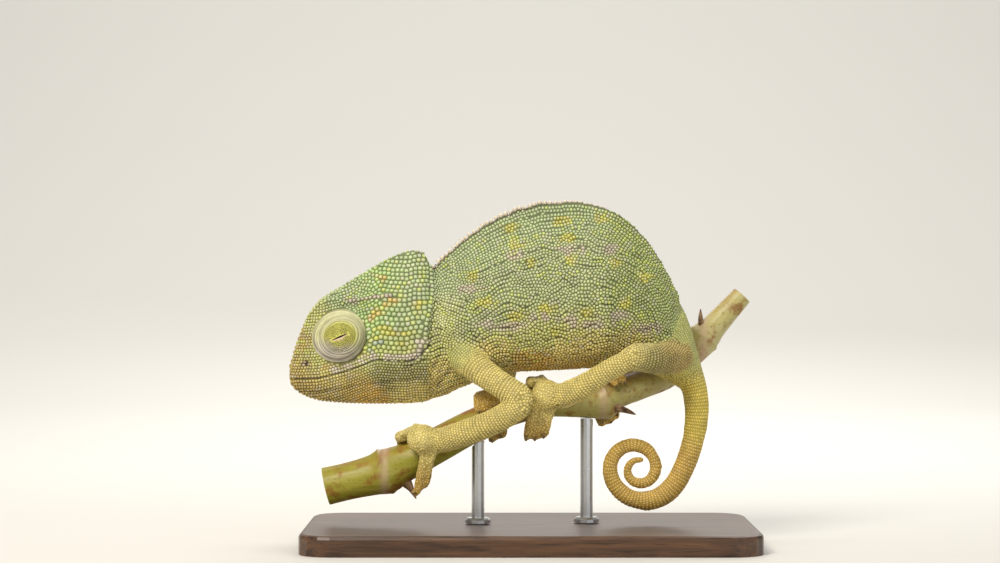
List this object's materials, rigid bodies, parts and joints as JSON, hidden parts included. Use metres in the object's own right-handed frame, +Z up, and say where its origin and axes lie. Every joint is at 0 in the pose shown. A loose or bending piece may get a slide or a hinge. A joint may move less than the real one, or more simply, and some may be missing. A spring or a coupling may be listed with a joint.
{
  "type": "common chameleon model on display stand",
  "caption": "Life-size still model of a green chameleon with a coiled tail, gripping a cut plant stem held by two rods on a flat base.",
  "frame": {"origin": "middle of the flat underside of the stand's base", "axes": "+Z up, +X towards the tail, the head faces -X, the animal's left side faces -Y"},
  "size_m": [0.1168, 0.062, 0.086],
  "materials": {
    "body_skin": "matt scaly reptile skin, yellow green",
    "limb_skin": "matt scaly reptile skin, ochre yellow",
    "tail_skin": "matt ringed reptile skin, yellow",
    "eye": "wet dark eyeball",
    "stem": "waxy green plant stem with brown blotches",
    "stand_wood": "dark stained wood, satin",
    "stand_steel": "brushed steel"
  },
  "bodies": {
    "root": {"head": "body_skin", "lower_jaw": "body_skin", "neck": "body_skin", "trunk": "body_skin", "upper_arm_left": "body_skin", "upper_arm_right": "body_skin", "thigh_left": "body_skin", "thigh_right": "body_skin", "eye_turret_left": "body_skin", "eye_turret_right": "body_skin", "forearm_left": "limb_skin", "forearm_right": "limb_skin", "shin_left": "limb_skin", "shin_right": "limb_skin", "palm_left": "limb_skin", "palm_right": "limb_skin", "sole_left": "limb_skin", "sole_right": "limb_skin", "outer_toes_front_left": "limb_skin", "outer_toes_front_right": "limb_skin", "outer_toes_hind_left": "limb_skin", "outer_toes_hind_right": "limb_skin", "inner_toes_front_left": "limb_skin", "inner_toes_front_right": "limb_skin", "inner_toes_hind_left": "limb_skin", "inner_toes_hind_right": "limb_skin", "tail_root": "tail_skin", "tail_bow": "tail_skin", "tail_coil": "tail_skin", "tail_tip": "tail_skin", "eyeball_left": "eye", "eyeball_right": "eye", "perch": "stem", "stand_base": "stand_wood", "stand_rod_front": "stand_steel", "stand_rod_rear": "stand_steel"}
  },
  "joints": []
}
